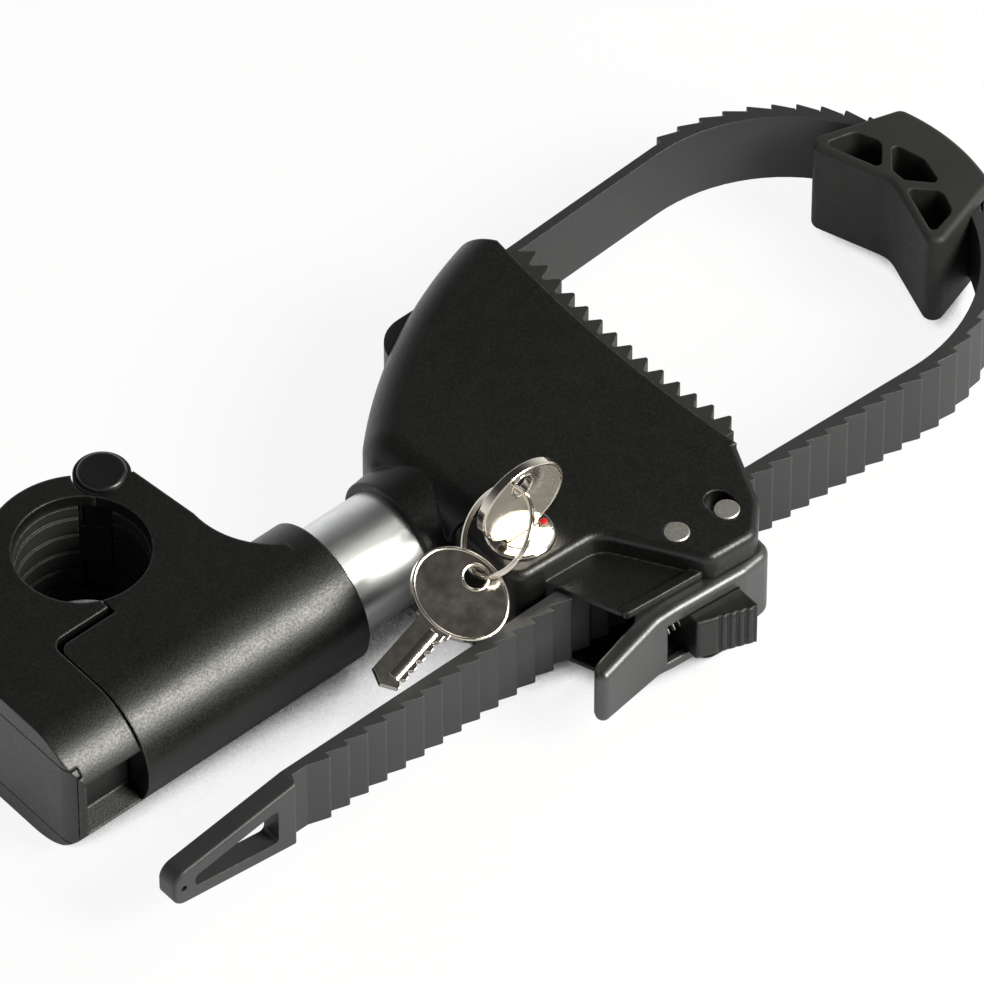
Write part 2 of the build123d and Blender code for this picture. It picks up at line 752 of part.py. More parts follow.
with BuildPart() as toothed_jaw_pad:
    with BuildSketch(Plane.XY) as tongue_plan:
        with Locations((front_centre_x, front_centre_y)):
            Circle(front_radius + grip_depth)
            Circle(front_radius - 2 * seat_gap, mode=Mode.SUBTRACT)
        with Locations((front_x, front_centre_y)):
            Rectangle(front_radius, grip_span, mode=Mode.INTERSECT)
    extrude(amount=grip_tongue_half, both=True)
    with BuildSketch(Plane.XY) as grip_plan:
        with Locations((front_centre_x, front_centre_y)):
            Circle(front_radius - seat_gap)
        with Locations((grip_centre_x, front_centre_y)):
            Circle(grip_radius, mode=Mode.SUBTRACT)
        with Locations((front_x, front_centre_y)):
            Rectangle(grip_radius, grip_span, mode=Mode.INTERSECT)
        grip_step = math.degrees(grip_pitch / grip_radius)
        grip_range = grip_step * (grip_count - 1)
        with Locations((grip_centre_x, front_centre_y)):
            with PolarLocations(grip_radius, grip_count, 180 - grip_range / 2, grip_range, endpoint=True):
                Polygon(
                    (grip_crest, -grip_pitch / 2),
                    (grip_crest, grip_pitch / 2),
                    (-grip_height, grip_crest / 2),
                    (-grip_height, -grip_crest / 2),
                    align=None,
                )
    extrude(amount=grip_half, both=True)
save(toothed_jaw_pad, "toothed_jaw_pad")

# Middle line of the strap, from its bulb round the loop to the tail
strap_middle = strap_inner + strap_thickness / 2
loop_middle = loop_radius + strap_thickness / 2
loop_turn = 180 + 2 * strap_spread
with BuildLine() as strap_path:
    loop_arc = CenterArc((loop_centre_x, arm_axis_y), loop_middle, 90 + strap_spread, -loop_turn)
    Polyline(
        (strap_bulb_x, arm_axis_y + strap_middle),
        (front_x, arm_axis_y + strap_middle),
        loop_arc @ 0,
    )
    Polyline(
        loop_arc @ 1,
        (front_x, arm_axis_y - strap_middle),
        (tail_end_x, arm_axis_y - strap_middle),
    )
strap_line = strap_path.wires()[0]
free_run = front_x - tail_teeth_x
spread_run = ((loop_arc @ 1) - Vector(front_x, arm_axis_y - strap_middle)).length
toothed_run = loop_arc.length + spread_run + free_run
tooth_count = int(toothed_run / tooth_pitch)
teeth_start = strap_line.length - (tail_teeth_x - tail_end_x) - tooth_count * tooth_pitch
tooth_places = []
for number in range(tooth_count):
    along = teeth_start + number * tooth_pitch
    foot = strap_line.position_at(along, position_mode=PositionMode.LENGTH)
    heading = strap_line.tangent_at(along, position_mode=PositionMode.LENGTH)
    tooth_places.append(Plane(origin=foot, x_dir=heading, z_dir=(0, 0, 1)).location)

with BuildPart() as strap:
    with BuildSketch(Plane.XY) as strap_plan:
        trace(strap_line, line_width=strap_thickness)
        with Locations(*tooth_places):
            Polygon(
                (0, strap_thickness / 2 - tooth_foot),
                (0, strap_thickness / 2 + tooth_height),
                (tooth_crest, strap_thickness / 2 + tooth_height),
                (tooth_pitch, strap_thickness / 2),
                (tooth_pitch, strap_thickness / 2 - tooth_foot),
                align=None,
            )
        with Locations((strap_bulb_x, strap_bulb_y)):
            Circle(strap_bulb_radius)
        # Thicker pull tab behind the last tooth
        with BuildLine():
            Polyline(
                (tab_start_x + tab_ramp, lower_strap_y),
                (tab_start_x + tab_ramp, lower_strap_y - strap_thickness),
                (tab_start_x, lower_strap_y - tab_thickness),
                (tail_end_x, lower_strap_y - tab_thickness),
                (tail_end_x, lower_strap_y),
                close=True,
            )
        make_face()
    extrude(amount=strap_half_width, both=True)
    # The tab tapers to its end, with a wedge-shaped slot and a small hole
    with BuildSketch(Plane.XZ.offset(-lower_strap_y)) as tail_waste:
        for side in (1, -1):
            with BuildLine():
                Polyline(
                    (tab_start_x, side * strap_half_width),
                    (tail_end_x, side * tail_tip_half),
                    (2 * tail_end_x, side * tail_tip_half),
                    (2 * tail_end_x, 2 * side * strap_half_width),
                    (tab_start_x, 2 * side * strap_half_width),
                    close=True,
                )
            make_face()
    extrude(amount=2 * tab_thickness, both=True, mode=Mode.SUBTRACT)
    tab_end = strap.edges().filter_by(Axis.Y).group_by(Axis.X)[0]
    fillet(tab_end, tail_tip_round)
    tab_face = strap.faces().filter_by(Axis.Y).sort_by_distance((tail_end_x, lower_strap_y - tab_thickness, 0))[0]
    fillet(tab_face.outer_wire().edges(), tab_edge)
    with BuildSketch(Plane.XZ.offset(-lower_strap_y)) as tail_slot:
        with BuildLine():
            Polyline(
                (tail_slot_start_x, tail_slot_start_half),
                (tail_slot_end_x, tail_slot_end_half),
                (tail_slot_end_x, -tail_slot_end_half),
                (tail_slot_start_x, -tail_slot_start_half),
                close=True,
            )
        make_face()
        fillet(tail_slot.vertices(), tail_slot_corner)
        with Locations((tail_hole_x, 0)):
            Circle(tail_hole_radius)
    extrude(amount=2 * tab_thickness, both=True, mode=Mode.SUBTRACT)
save(strap, "strap")

# Frame pad: rubber block in the strap's bend, with a slot for the strap and three through holes
pad_outer = loop_radius + strap_thickness + tooth_height + seat_gap + pad_outer_wall
pad_slot_inner = loop_radius - seat_gap
pad_slot_outer = loop_radius + strap_thickness + tooth_height + seat_gap

with BuildPart() as frame_pad:
    with BuildSketch(Plane.XY) as pad_plan:
        with Locations((loop_centre_x, arm_axis_y)):
            Circle(pad_outer)
        with BuildLine():
            Polyline(
                (pad_valley_x, arm_axis_y),
                (pad_inner_x, arm_axis_y + pad_half_span),
                (pad_far_x, arm_axis_y + pad_far_span),
                (pad_far_x, arm_axis_y - pad_far_span),
                (pad_inner_x, arm_axis_y - pad_half_span),
                close=True,
            )
        make_face(mode=Mode.INTERSECT)
        valley = pad_plan.vertices().sort_by_distance((pad_valley_x, arm_axis_y))[0]
        fillet(pad_plan.vertices() - [valley], pad_corner)
        fillet(pad_plan.vertices().sort_by_distance((pad_valley_x, arm_axis_y))[0], pad_valley_round)
    extrude(amount=pad_half, both=True)
    fillet(frame_pad.faces().sort_by(Axis.Z)[-1].outer_wire().edges(), pad_edge)
    fillet(frame_pad.faces().sort_by(Axis.Z)[0].outer_wire().edges(), pad_edge)
    with BuildSketch(Plane.XY) as pad_holes:
        with BuildLine():
            Polyline(
                (pad_middle_near[0], arm_axis_y - pad_middle_near[1]),
                (pad_middle_near[0], arm_axis_y + pad_middle_near[1]),
                (pad_middle_far[0], arm_axis_y + pad_middle_far[1]),
                (pad_middle_back_x, arm_axis_y),
                (pad_middle_far[0], arm_axis_y - pad_middle_far[1]),
                close=True,
            )
        make_face()
        fillet(pad_holes.vertices(), pad_hole_corner)
        for side in (1, -1):
            corners = [
                (x, arm_axis_y + side * aside)
                for x, aside in (pad_hole_near, pad_hole_far, pad_hole_back, pad_hole_low)
            ]
            with BuildLine():
                Polyline(*corners, close=True)
            make_face()
            for point, radius in zip(
                corners, (pad_hole_corner, pad_hole_round, pad_hole_round, pad_hole_corner)
            ):
                fillet(pad_holes.vertices().sort_by_distance(point)[0], radius)
    extrude(amount=2 * pad_half, both=True, mode=Mode.SUBTRACT)
    with BuildSketch(Plane.XY) as pad_slot:
        with Locations((loop_centre_x, arm_axis_y)):
            Circle(pad_slot_outer)
            Circle(pad_slot_inner, mode=Mode.SUBTRACT)
    extrude(amount=strap_half_width + seat_gap, both=True, mode=Mode.SUBTRACT)
save(frame_pad, "frame_pad")

# Plan of the lever: pawl nose, hubs of its two pins, and a cranked handle
with BuildSketch(Plane.XY) as lever_plan:
    with BuildLine():
        Polyline(
            (pivot_x, pivot_y + lever_hub),
            lever_nose,
            lever_nose_heel,
            lever_inner_root,
            lever_inner_step,
            lever_inner_bend,
            lever_tip_inner,
            lever_tip_outer,
            lever_outer_bend,
            lever_outer_middle,
            lever_outer_right,
            lever_right,
            (guide_x, guide_y + lever_hub),
            close=True,
        )
    make_face()
    with Locations((pivot_x, pivot_y), (guide_x, guide_y)):
        Circle(lever_hub)
    for point, radius in (
        (lever_inner_root, lever_inner_round),
        (lever_inner_step, lever_inner_round),
        (lever_inner_bend, lever_inner_round),
        (lever_outer_bend, lever_outer_round),
        (lever_outer_right, lever_corner),
    ):
        fillet(lever_plan.vertices().sort_by_distance(point)[0], radius)

catch_room_length = catch_length + catch_travel + 2 * seat_gap
catch_room_left = catch_left_x - catch_travel - seat_gap
catch_room_depth = catch_base_depth + 2 * seat_gap
catch_axis_y = catch_room_y - catch_room_depth / 2

with BuildPart() as lever:
    extrude(lever_plan.sketch, amount=lever_half, both=True)
    # The handle grows lower towards its tip
    with BuildSketch(Plane.XZ.offset(-lever_inner_step[1])) as handle_waste:
        for side in (1, -1):
            with BuildLine():
                Polyline(
                    (lever_taper_x, side * lever_half),
                    (lever_tip_outer[0], side * lever_tip_half),
                    (lever_tip_outer[0], 2 * side * lever_half),
                    (lever_taper_x, 2 * side * lever_half),
                    close=True,
                )
            make_face()
    extrude(amount=2 * lever_half, mode=Mode.SUBTRACT)
    handle_edges = lever.edges().filter_by(
        lambda e: abs(e.center().Z) > lever_tip_half - lever_edge and e.center().Y < lever_tip_inner[1]
    )
    tip_edges = lever.edges().filter_by(Axis.Z).sort_by(Axis.X)[:2]
    fillet(handle_edges + tip_edges, lever_edge)
    with Locations((pivot_x, pivot_y, 0), (guide_x, guide_y, 0)):
        Cylinder(pin_shank_radius + running_gap, 3 * lever_half, mode=Mode.SUBTRACT)
    with Locations((pivot_x, pivot_y, 0)):
        Cylinder(spring_room_radius, 2 * spring_room_half, mode=Mode.SUBTRACT)
    # Room of the catch and the window it shows through
    with Locations((catch_room_left, catch_room_y, 0)):
        Box(
            catch_room_length,
            catch_room_depth,
            2 * (catch_base_half + seat_gap),
            align=(Align.MIN, Align.MAX, Align.CENTER),
            mode=Mode.SUBTRACT,
        )
        Box(
            catch_room_length,
            4 * catch_room_depth,
            2 * (catch_neck_half + seat_gap),
            align=(Align.MIN, Align.MAX, Align.CENTER),
            mode=Mode.SUBTRACT,
        )
save(lever, "lever")

with BuildPart() as lever_pivot_pin:
    with Locations((pivot_x, pivot_y, plate_half)):
        Cylinder(
            pin_head_radius,
            half_height - plate_half + pin_proud,
            align=(Align.CENTER, Align.CENTER, Align.MIN),
        )
        Cylinder(
            pin_shank_radius,
            2 * plate_half + pin_foot_depth,
            align=(Align.CENTER, Align.CENTER, Align.MAX),
        )
    chamfer(lever_pivot_pin.edges().group_by(Axis.Z)[-1], pin_proud)
save(lever_pivot_pin, "lever_pivot_pin")

with BuildPart() as lever_guide_pin:
    with Locations((guide_x, guide_y, lever_half)):
        Cylinder(
            pin_head_radius,
            half_height - lever_half + pin_proud,
            align=(Align.CENTER, Align.CENTER, Align.MIN),
        )
        Cylinder(
            pin_shank_radius,
            lever_half + plate_half + pin_foot_depth,
            align=(Align.CENTER, Align.CENTER, Align.MAX),
        )
    chamfer(lever_guide_pin.edges().group_by(Axis.Z)[-1], pin_proud)
save(lever_guide_pin, "lever_guide_pin")


def coil(start, direction, radius, wire, length, turns, name):
    """Round wire spring along a direction, from its start."""
    pitch = (length - wire) / turns
    foot = Vector(*start) + Vector(*direction) * (wire / 2)
    with BuildPart() as piece:
        with BuildLine():
            turn_line = Helix(pitch, length - wire, radius, center=foot, direction=direction)
        with BuildSketch(Plane(origin=turn_line @ 0, z_dir=turn_line % 0)):
            Circle(wire / 2)
        sweep(is_frenet=True)
    save(piece, name)


coil(
    (pivot_x, pivot_y, -spring_room_half),
    (0, 0, 1),
    lever_spring_radius,
    lever_spring_wire,
    2 * spring_room_half,
    lever_spring_turns,
    "lever_spring",
)
coil(
    (catch_room_left, catch_axis_y, 0),
    (1, 0, 0),
    catch_spring_radius,
    catch_spring_wire,
    catch_left_x + catch_spring_depth - catch_room_left,
    catch_spring_turns,
    "catch_spring",
)

with BuildPart() as lever_catch:
    with Locations((catch_left_x, catch_room_y - seat_gap, 0)):
        Box(
            catch_length,
            catch_base_depth,
            2 * catch_base_half,
            align=(Align.MIN, Align.MAX, Align.CENTER),
        )
    with BuildSketch(Plane.XY) as thumb_plan:
        with BuildLine():
            Polyline(
                (catch_left_x, catch_room_y - seat_gap),
                (catch_left_x, catch_low_y),
                (catch_left_x + catch_length, catch_proud_y),
                (catch_left_x + catch_length, catch_room_y - seat_gap),
                close=True,
            )
        make_face()
    extrude(amount=catch_neck_half, both=True)
    fillet(lever_catch.faces().sort_by(Axis.Y)[0].edges(), catch_edge)
    groove_step = (catch_groove_end - catch_groove_start) / (catch_groove_count - 1)
    for number in range(catch_groove_count):
        share = catch_groove_start + number * groove_step
        groove_y = catch_low_y + share * (catch_proud_y - catch_low_y)
        with Locations((catch_left_x + share * catch_length, groove_y, 0)):
            Cylinder(catch_groove_radius, 3 * catch_neck_half, mode=Mode.SUBTRACT)
    with BuildSketch(Plane.YZ.offset(catch_left_x)) as spring_hole:
        with Locations((catch_axis_y, 0)):
            Circle(catch_spring_hole)
    extrude(amount=catch_spring_depth, mode=Mode.SUBTRACT)
save(lever_catch, "lever_catch")

barrel_top_z = half_height + barrel_proud
plug_top_z = barrel_top_z + plug_proud
key_tip_reach = key_hole_offset + key_bow_length + key_blade_length

with BuildPart() as lock_barrel:
    with Locations((lock_x, lock_y, barrel_foot_z)):
        Cylinder(barrel_radius, barrel_top_z - barrel_foot_z, align=(Align.CENTER, Align.CENTER, Align.MIN))
    chamfer(lock_barrel.edges().group_by(Axis.Z)[-1], barrel_proud / 2)
    with Locations((lock_x, lock_y, barrel_foot_z)):
        Cylinder(plug_radius + running_gap, 3 * barrel_top_z, mode=Mode.SUBTRACT)
save(lock_barrel, "lock_barrel")

with BuildPart() as lock_plug:
    with Locations((lock_x, lock_y, barrel_foot_z)):
        Cylinder(plug_radius, plug_top_z - barrel_foot_z, align=(Align.CENTER, Align.CENTER, Align.MIN))
    with Locations((lock_x, lock_y, key_hole_z - key_tip_reach - key_slit_gap)):
        Box(
            key_blade + 2 * key_slit_gap,
            key_thickness + 2 * key_slit_gap,
            2 * plug_top_z,
            align=(Align.CENTER, Align.CENTER, Align.MIN),
            mode=Mode.SUBTRACT,
        )
save(lock_plug, "lock_plug")

with BuildPart() as lock_cam:
    with BuildSketch(Plane.XY.offset(barrel_foot_z)):
        with Locations((lock_x, lock_y)):
            Circle(cam_radius)
            Rectangle(cam_reach, cam_width, align=(Align.MIN, Align.CENTER))
    extrude(amount=-cam_thickness)
save(lock_cam, "lock_cam")


def key(place, name):
    """Flat key with its hole at the place's origin and its blade along the place's x."""
    blade_start = key_hole_offset + key_bow_length
    with BuildPart() as piece:
        with BuildSketch(place) as outline:
            with Locations((key_hole_offset, 0)):
                Ellipse(key_bow_length, key_bow_width)
            with Locations((blade_start - key_collar_length, 0)):
                Rectangle(key_collar_length + seat_gap, key_collar, align=(Align.MIN, Align.CENTER))
            with BuildLine():
                Polyline(
                    (key_hole_offset, -key_blade / 2),
                    (key_tip_reach - key_blade / 4, -key_blade / 2),
                    (key_tip_reach, 0),
                    (key_tip_reach - key_blade / 4, key_blade / 2),
                    (key_hole_offset, key_blade / 2),
                    close=True,
                )
            make_face()
            Circle(key_hole_radius, mode=Mode.SUBTRACT)
            bits = [
                (key_tip_reach - key_blade / 2 - key_bit_pitch * number, key_blade / 2)
                for number in range(key_bit_count)
            ]
            with Locations(*bits):
                Polygon(
                    (-key_bit_depth, 0),
                    (0, -key_bit_depth),
                    (key_bit_depth, 0),
                    align=None,
                    mode=Mode.SUBTRACT,
                )
        extrude(amount=key_thickness / 2, both=True)
    save(piece, name)


lock_key_hole = Vector(lock_x, lock_y, key_hole_z)
spare_hole = Vector(*spare_key_hole)
spare_heading = (Vector(*spare_key_tip) - spare_hole).normalized()
spare_facing = Vector(*spare_key_facing)
spare_facing = (spare_facing - spare_heading * spare_facing.dot(spare_heading)).normalized()
key(Plane(origin=lock_key_hole, x_dir=(0, 0, -1), z_dir=(0, 1, 0)), "key_in_lock")
key(Plane(origin=spare_hole, x_dir=spare_heading, z_dir=spare_facing), "spare_key")

# The ring's wire rests just inside the rim of both key holes
rest_offset = key_hole_radius - ring_wire - ring_ease
ring_heading = (spare_hole - lock_key_hole).normalized()
ring_high = lock_key_hole + ring_heading * rest_offset
ring_low = spare_hole - spare_heading * rest_offset
ring_middle = (ring_high + ring_low) * 0.5
ring_radius = (ring_low - ring_high).length / 2
ring_x = (ring_low - ring_high).normalized()
with BuildPart(Plane(origin=ring_middle, x_dir=ring_x, z_dir=ring_x.cross(Vector(*ring_side)))) as key_ring:
    Torus(ring_radius, ring_wire)
save(key_ring, "key_ring")
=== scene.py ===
import json
import math

import bmesh
import bpy
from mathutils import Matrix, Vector


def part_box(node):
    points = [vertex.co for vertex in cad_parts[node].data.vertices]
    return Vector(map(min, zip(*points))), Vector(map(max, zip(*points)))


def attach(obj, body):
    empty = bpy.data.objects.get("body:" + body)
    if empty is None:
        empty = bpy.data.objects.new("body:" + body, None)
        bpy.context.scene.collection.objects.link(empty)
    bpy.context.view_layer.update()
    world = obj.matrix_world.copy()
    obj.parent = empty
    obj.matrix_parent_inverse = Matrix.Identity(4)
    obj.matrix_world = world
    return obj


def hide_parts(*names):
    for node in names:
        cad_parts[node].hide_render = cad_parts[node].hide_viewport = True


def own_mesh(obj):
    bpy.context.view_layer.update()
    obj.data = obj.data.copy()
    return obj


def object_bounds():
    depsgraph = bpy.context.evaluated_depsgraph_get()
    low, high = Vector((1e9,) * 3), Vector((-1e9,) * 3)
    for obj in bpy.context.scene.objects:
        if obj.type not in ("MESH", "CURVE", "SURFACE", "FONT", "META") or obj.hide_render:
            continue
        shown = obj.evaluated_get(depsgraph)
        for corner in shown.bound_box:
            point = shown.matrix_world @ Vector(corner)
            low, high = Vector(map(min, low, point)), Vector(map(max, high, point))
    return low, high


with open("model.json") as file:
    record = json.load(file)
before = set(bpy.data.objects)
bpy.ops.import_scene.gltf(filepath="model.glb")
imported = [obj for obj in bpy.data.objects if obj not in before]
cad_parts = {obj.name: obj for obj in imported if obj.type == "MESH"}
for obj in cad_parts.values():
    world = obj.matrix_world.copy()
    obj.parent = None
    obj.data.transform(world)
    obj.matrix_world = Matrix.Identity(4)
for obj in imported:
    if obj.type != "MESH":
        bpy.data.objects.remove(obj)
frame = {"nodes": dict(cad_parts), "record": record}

# Looks of a bike carrier's frame-holder arm: materials for the CAD nodes, small details, camera, light
# and floor.
# Sizes of the object are in millimetres, in the part's own frame, and MM turns them into metres.
# Camera, lamps and floor are in metres.

MM = 0.001
cad_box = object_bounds()
nodes = frame["nodes"]


def mm(*values):
    """A point given in millimetres, in metres."""
    return Vector(values) * MM


# Materials


def start_material(name):
    """A new node material: the material, its tree and its shader."""
    material = bpy.data.materials.new(name)
    material.use_nodes = True
    tree = material.node_tree
    return material, tree, tree.nodes["Principled BSDF"]


def add(tree, kind, inputs=None, **settings):
    """A new node with its settings and plain input values."""
    made = tree.nodes.new(kind)
    for key, value in settings.items():
        setattr(made, key, value)
    for key, value in (inputs or {}).items():
        made.inputs[key].default_value = value
    return made


ALL_WAYS = (1.0, 1.0, 1.0)
ALONG_X = (0.02, 1.0, 1.0)


def surface_place(tree, stretch=ALL_WAYS):
    """Position on the piece, in metres, stretched by a factor along each axis."""
    coordinates = add(tree, "ShaderNodeTexCoord")
    mapping = add(tree, "ShaderNodeMapping", {"Scale": stretch})
    tree.links.new(coordinates.outputs["Object"], mapping.inputs["Vector"])
    return mapping.outputs["Vector"]


def noise(tree, place, size, detail=2.0, roughness=0.5):
    """Noise whose spots are about size millimetres across."""
    made = add(
        tree,
        "ShaderNodeTexNoise",
        {"Scale": 1.0 / (size * MM), "Detail": detail, "Roughness": roughness},
    )
    tree.links.new(place, made.inputs["Vector"])
    return made.outputs["Fac"]


def between(tree, value, low, high, start=0.3, end=0.7):
    """A value of about 0 to 1 turned into a smooth number from low to high."""
    made = add(
        tree,
        "ShaderNodeMapRange",
        {"From Min": start, "From Max": end, "To Min": low, "To Max": high},
        interpolation_type="SMOOTHSTEP",
    )
    tree.links.new(value, made.inputs["Value"])
    return made.outputs["Result"]


def worked(tree, operation, first, second):
    """Sum, product or other result of two outputs."""
    made = add(tree, "ShaderNodeMath", operation=operation)
    tree.links.new(first, made.inputs[0])
    tree.links.new(second, made.inputs[1])
    return made.outputs["Value"]


def mixed(tree, share, first, second):
    """Colour that runs from first to second with the share; either may be a colour or an output."""
    made = add(tree, "ShaderNodeMix", data_type="RGBA")
    tree.links.new(share, made.inputs["Factor"])
    for name, colour in (("A", first), ("B", second)):
        socket = next(s for s in made.inputs if s.name == name and s.type == "RGBA")
        if isinstance(colour, tuple):
            socket.default_value = (*colour, 1.0)
        else:
            tree.links.new(colour, socket)
    return next(s for s in made.outputs if s.type == "RGBA")


BEVEL_SAMPLES = 6


def rounded_normal(tree, radius):
    """Normal of the surface with its edges softened by a radius in millimetres."""
    made = add(tree, "ShaderNodeBevel", {"Radius": radius * MM}, samples=BEVEL_SAMPLES)
    return made.outputs["Normal"]


EDGE_TURNED = 0.80      # the softened normal's part along the true one, at an edge and on an open face
EDGE_OPEN = 0.99


def edge_share(tree, soft):
    """1 along edges and 0 on open faces, from how far the softened normal leaves the true one."""
    geometry = add(tree, "ShaderNodeNewGeometry")
    dot = add(tree, "ShaderNodeVectorMath", operation="DOT_PRODUCT")
    tree.links.new(soft, dot.inputs[0])
    tree.links.new(geometry.outputs["Normal"], dot.inputs[1])
    return between(tree, dot.outputs["Value"], 1.0, 0.0, EDGE_TURNED, EDGE_OPEN)


def bumped(tree, height, depth, soft, strength=0.5):
    """Softened normal with bumps of a depth in millimetres on it."""
    made = add(tree, "ShaderNodeBump", {"Strength": strength, "Distance": depth * MM})
    tree.links.new(height, made.inputs["Height"])
    tree.links.new(soft, made.inputs["Normal"])
    return made.outputs["Normal"]


CLOUD_SIZE = 30.0
SCUFF_SIZE = 5.0
SCUFF_SHARE = 0.25      # part of the change in gloss that comes from scuffs, the rest being the grain
# Paler colour along edges: partly wear, partly a painted highlight
WEAR_AND_HIGHLIGHT_SIZE = 1.6
WEAR_AND_HIGHLIGHT_LEAST = 0.15
WEAR_AND_HIGHLIGHT_START = 0.40
WEAR_AND_HIGHLIGHT_END = 0.68


def moulding(name, dark, pale, worn_and_highlit, gloss, dull, grain, depth, edge, shine=0.5):
    """Moulded plastic or rubber: spark-eroded grain, faint cloudy colour, scuffed gloss, and paler edges
    that are partly wear and partly painted highlight.
    """
    material, tree, shader = start_material(name)
    shader.inputs["Specular IOR Level"].default_value = shine
    place = surface_place(tree)
    soft = rounded_normal(tree, edge)
    pits = noise(tree, place, grain, detail=3.0, roughness=0.6)
    clouds = between(tree, noise(tree, place, CLOUD_SIZE), 0.0, 1.0)
    # Paler edges: partly wear, partly a painted highlight along every edge
    wear_and_highlight = worked(
        tree,
        "MULTIPLY",
        edge_share(tree, soft),
        between(tree, noise(tree, place, WEAR_AND_HIGHLIGHT_SIZE, detail=4.0), WEAR_AND_HIGHLIGHT_LEAST, 1.0, WEAR_AND_HIGHLIGHT_START, WEAR_AND_HIGHLIGHT_END),
    )
    base = mixed(tree, clouds, dark, pale)
    tree.links.new(mixed(tree, wear_and_highlight, base, worn_and_highlit), shader.inputs["Base Color"])
    change = dull - gloss
    scratches = noise(tree, place, SCUFF_SIZE, detail=6.0, roughness=0.65)
    scuffs = between(tree, scratches, 0.0, change * SCUFF_SHARE)
    speckle = between(tree, pits, gloss, gloss + change * (1 - SCUFF_SHARE))
    tree.links.new(worked(tree, "ADD", scuffs, speckle), shader.inputs["Roughness"])
    tree.links.new(bumped(tree, pits, depth, soft), shader.inputs["Normal"])
    return material


SMUDGE_SIZE = 7.0
METAL_BUMP = 0.3


def metal(name, colour, shade, gloss, dull, stretch, streak, edge, depth):
    """Bare or plated metal with streaks along the least stretched axis, smudges and softened edges."""
    material, tree, shader = start_material(name)
    shader.inputs["Metallic"].default_value = 1.0
    soft = rounded_normal(tree, edge)
    lines = noise(tree, surface_place(tree, stretch), streak, detail=3.0, roughness=0.6)
    smudges = noise(tree, surface_place(tree), SMUDGE_SIZE, detail=4.0)
    tint = mixed(tree, between(tree, smudges, 0.0, 1.0), colour, shade)
    tree.links.new(tint, shader.inputs["Base Color"])
    rough = worked(
        tree,
        "ADD",
        between(tree, lines, gloss / 2, dull / 2),
        between(tree, smudges, gloss / 2, dull / 2),
    )
    tree.links.new(rough, shader.inputs["Roughness"])
    tree.links.new(bumped(tree, lines, depth, soft, METAL_BUMP), shader.inputs["Normal"])
    return material


materials = {
    "black_plastic": moulding(
        "moulded_black_plastic",
        dark=(0.0042, 0.0043, 0.0040), pale=(0.0056, 0.0057, 0.0053), worn_and_highlit=(0.050, 0.050, 0.046),
        gloss=0.29, dull=0.47, grain=0.60, depth=0.08, edge=0.8,
    ),
    "strap_plastic": moulding(
        "strap_plastic",
        dark=(0.024, 0.0245, 0.0258), pale=(0.030, 0.0305, 0.0318), worn_and_highlit=(0.080, 0.080, 0.077),
        gloss=0.36, dull=0.52, grain=0.35, depth=0.02, edge=0.35,
    ),
    # Its pale edge colour is partly wear and partly a painted highlight on the rubber's edges
    "liner_rubber": moulding(
        "grip_rubber",
        dark=(0.014, 0.0145, 0.014), pale=(0.019, 0.0195, 0.019), worn_and_highlit=(0.13, 0.13, 0.12),
        gloss=0.45, dull=0.62, grain=0.4, depth=0.03, edge=0.4,
    ),
    "pad_rubber": moulding(
        "pad_rubber",
        dark=(0.0130, 0.0128, 0.0118), pale=(0.0170, 0.0166, 0.0152), worn_and_highlit=(0.05, 0.049, 0.044),
        gloss=0.52, dull=0.70, grain=0.45, depth=0.04, edge=0.8,
    ),
    "cap_paint": moulding(
        "black_oxide_cap",
        dark=(0.006, 0.006, 0.007), pale=(0.009, 0.009, 0.011), worn_and_highlit=(0.03, 0.03, 0.03),
        gloss=0.24, dull=0.34, grain=0.3, depth=0.004, edge=0.5,
    ),
    "aluminium_tube": metal(
        "drawn_aluminium",
        colour=(0.85, 0.86, 0.86), shade=(0.77, 0.78, 0.78),
        gloss=0.30, dull=0.40, stretch=ALONG_X, streak=0.35, edge=0.3, depth=0.004,
    ),
    "steel": metal(
        "zinc_steel",
        colour=(0.60, 0.58, 0.54), shade=(0.50, 0.49, 0.45),
        gloss=0.38, dull=0.54, stretch=ALL_WAYS, streak=0.6, edge=0.25, depth=0.004,
    ),
    "nickel": metal(
        "nickel_plate",
        colour=(0.80, 0.75, 0.66), shade=(0.76, 0.71, 0.62),
        gloss=0.10, dull=0.15, stretch=ALL_WAYS, streak=2.4, edge=0.35, depth=0.0015,
    ),
}
red_enamel = moulding(
    "red_enamel",
    dark=(0.55, 0.010, 0.012), pale=(0.62, 0.016, 0.016), worn_and_highlit=(0.70, 0.10, 0.08),
    gloss=0.20, dull=0.34, grain=0.5, depth=0.01, edge=0.1,
)
# Smoother black plastic for the lever; its paler colour is a painted sheen for the light its front faces
# catch
lever_plastic_with_painted_sheen = moulding(
    "smooth_lever_plastic_with_painted_sheen",
    dark=(0.016, 0.0166, 0.0168), pale=(0.020, 0.0207, 0.0210), worn_and_highlit=(0.07, 0.07, 0.067),
    gloss=0.30, dull=0.42, grain=0.40, depth=0.02, edge=0.8, shine=1.0,
)


def dress(piece, material):
    """Give a piece one material, on the object's own slots."""
    if not piece.material_slots:
        piece.data.materials.append(material)
    for held in piece.material_slots:
        held.material = material


for part in frame["record"]["subparts"]:
    dress(nodes[part["node"]], materials[part["material_slot"]])
# The lever's paler plastic is a painted sheen
dress(nodes["lever"], lever_plastic_with_painted_sheen)


# Details

SHARP = math.radians(38.0)
BEAD_SIDES = 10
FINE_SIDES = 8


